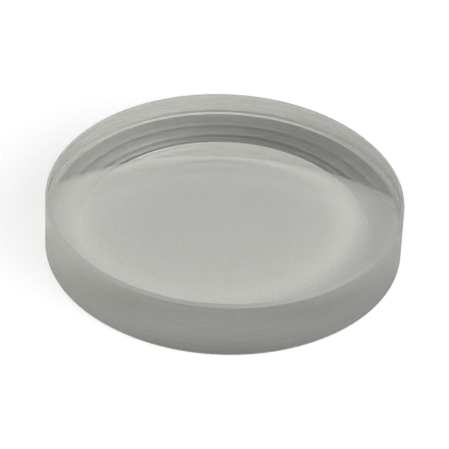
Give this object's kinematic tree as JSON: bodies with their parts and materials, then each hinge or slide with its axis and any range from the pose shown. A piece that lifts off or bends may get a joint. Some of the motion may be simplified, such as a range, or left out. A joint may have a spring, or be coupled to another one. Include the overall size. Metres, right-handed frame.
{
  "type": "meniscus lens",
  "caption": "Round glass meniscus lens that spreads light: a shallow polished dome above, a deeper polished hollow below, and a ground rim with bevelled corners.",
  "frame": {"origin": "centre of the flat ring that the lens rests on", "axes": "+Z along the optical axis, out of the dome; the lens is round, so +X and +Y are free"},
  "size_m": [0.05, 0.05, 0.0096],
  "materials": {
    "optical_glass": "polished faces, finely ground rim"
  },
  "bodies": {
    "root": {"lens": "optical_glass"}
  },
  "joints": []
}
